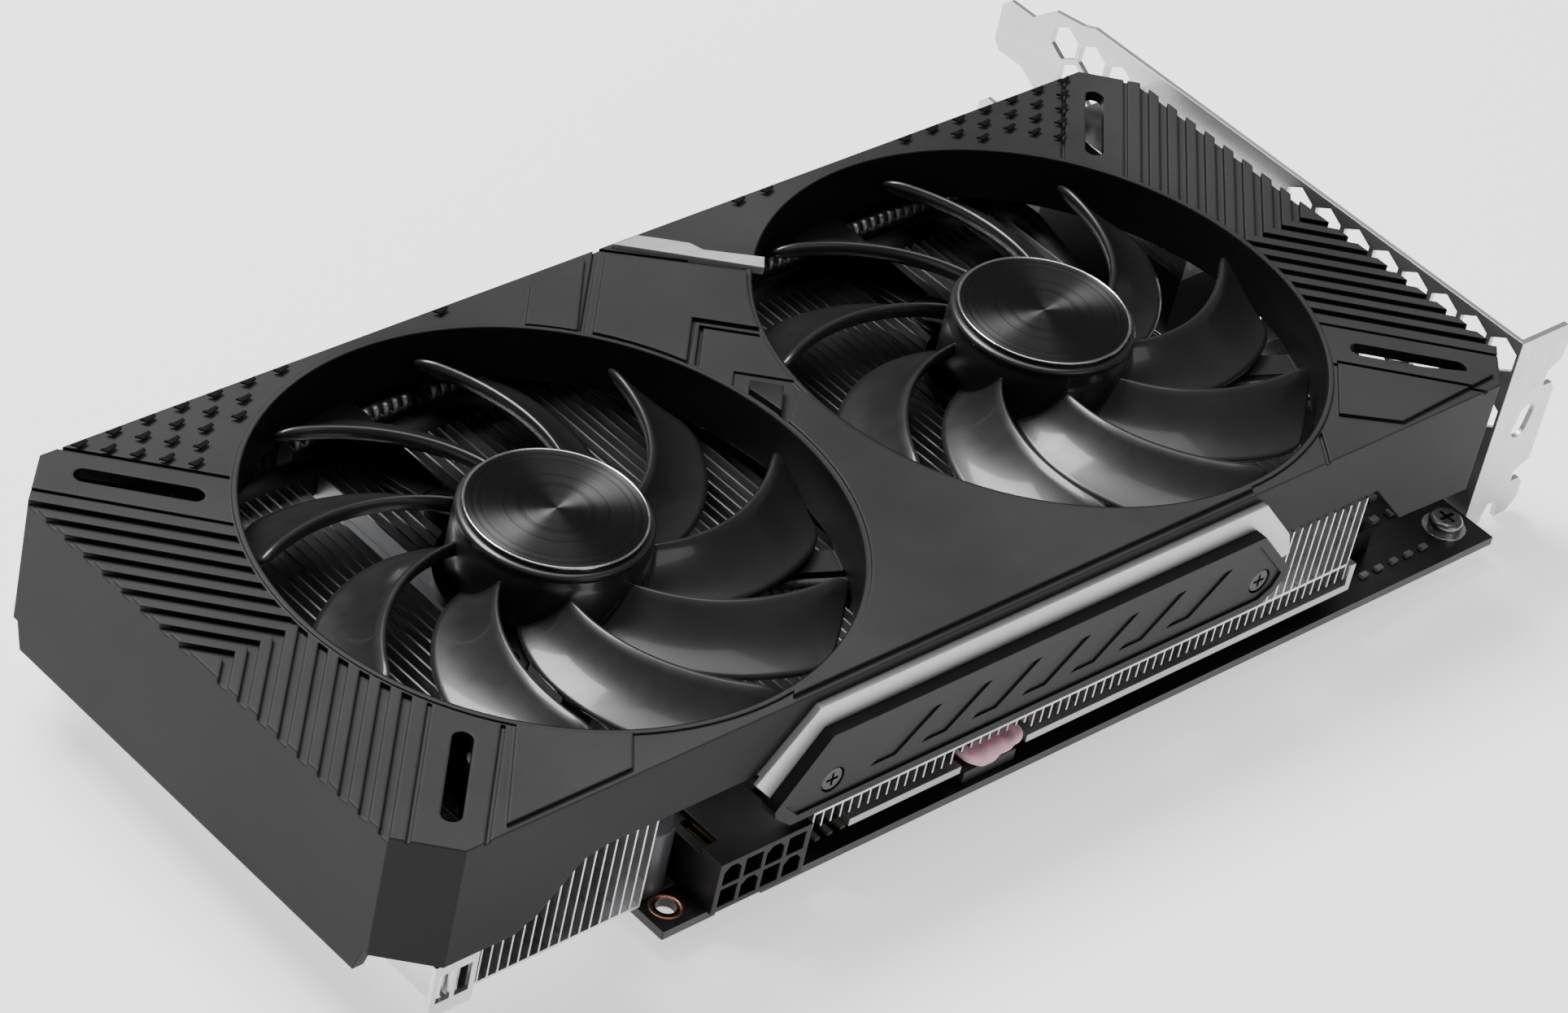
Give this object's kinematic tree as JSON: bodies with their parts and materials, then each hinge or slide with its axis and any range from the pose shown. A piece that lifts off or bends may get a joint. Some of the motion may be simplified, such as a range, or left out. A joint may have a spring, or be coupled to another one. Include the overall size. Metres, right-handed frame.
{
  "type": "graphics card",
  "caption": "Two-fan graphics card with faceted cover, finned cooler, heat pipes and vented two-slot bracket; both fans spin",
  "frame": {"origin": "centre of the base of the bounding box", "axes": "+X along the card to its bracket and tab, +Y across it to the contact edge and the bracket's tongues, +Z from the board up to the fans"},
  "size_m": [0.246, 0.1288, 0.041],
  "materials": {
    "cover_plastic": "fine grained",
    "frame_plastic": "moulded",
    "fan_plastic": "polished",
    "disc_metal": "spun",
    "magnet": "dull",
    "shaft_steel": "ground",
    "bush_bronze": "sintered",
    "stator_core": "lacquered",
    "green_laminate": "solder mask",
    "screw_black": "black oxide",
    "screw_steel": "plated",
    "lead_sleeve": "woven sleeve",
    "fin_aluminium": "rolled sheet",
    "pipe_metal": "plated",
    "copper": "milled",
    "pale_sheet": "satin",
    "pad_pink": "soft",
    "board_black": "solder mask",
    "gold": "gilded",
    "chip_black": "moulded",
    "die": "polished",
    "choke_grey": "pressed powder",
    "capacitor": "lacquered",
    "part_tan": "ceramic",
    "header_black": "moulded",
    "socket_steel": "plated",
    "bracket_steel": "satin plate",
    "trim_silver": "metallic paint",
    "plate_dark": "smooth",
    "spring_steel": "wire"
  },
  "bodies": {
    "card": {"fan_cover": "cover_plastic", "accent_strip": "trim_silver", "side_plate": "plate_dark", "side_plate_screws": "screw_black", "side_trim": "trim_silver", "fan_arms": "frame_plastic", "fan_screws": "screw_black", "fan_plug": "header_black", "fan_socket": "header_black", "fin_stack": "fin_aluminium", "power_fin_stack": "fin_aluminium", "edge_pad": "pad_pink", "tail_fin_stack": "fin_aluminium", "fin_end_plate": "fin_aluminium", "heat_pipes": "pipe_metal", "cold_plate": "copper", "base_plate": "pale_sheet", "thermal_pads": "pad_pink", "circuit_board": "board_black", "edge_contacts": "gold", "gpu_package": "green_laminate", "gpu_die": "die", "memory_chips": "chip_black", "power_chokes": "choke_grey", "power_stages": "chip_black", "capacitors": "capacitor", "small_parts": "part_tan", "control_chips": "chip_black", "power_header": "header_black", "header_pins": "gold", "socket_shells": "socket_steel", "socket_tongues": "header_black", "bracket": "bracket_steel", "bracket_screws": "screw_steel", "bracket_lugs": "socket_steel", "corner_screw": "screw_steel", "corner_washer": "screw_steel", "spring_screws": "screw_steel", "screw_springs": "spring_steel", "plate_posts": "screw_steel", "post_screws": "screw_steel", "tail_fan_bush": "bush_bronze", "tail_motor_base": "frame_plastic", "tail_stator": "stator_core", "tail_fan_board": "green_laminate", "tail_fan_lead": "lead_sleeve", "bracket_fan_bush": "bush_bronze", "bracket_motor_base": "frame_plastic", "bracket_stator": "stator_core", "bracket_fan_board": "green_laminate", "bracket_fan_lead": "lead_sleeve"},
    "tail_fan": {"tail_rotor": "fan_plastic", "tail_hub_disc": "disc_metal", "tail_rotor_magnet": "magnet", "tail_fan_shaft": "shaft_steel"},
    "bracket_fan": {"bracket_rotor": "fan_plastic", "bracket_hub_disc": "disc_metal", "bracket_rotor_magnet": "magnet", "bracket_fan_shaft": "shaft_steel"}
  },
  "joints": [
    {"name": "tail_fan_spin", "type": "hinge", "parent": "card", "child": "tail_fan", "pos_m": [-0.05905, -0.01245, 0.0341], "axis": [0, 0, 1], "continuous": true},
    {"name": "bracket_fan_spin", "type": "hinge", "parent": "card", "child": "bracket_fan", "pos_m": [0.04195, -0.01245, 0.0341], "axis": [0, 0, 1], "continuous": true}
  ]
}
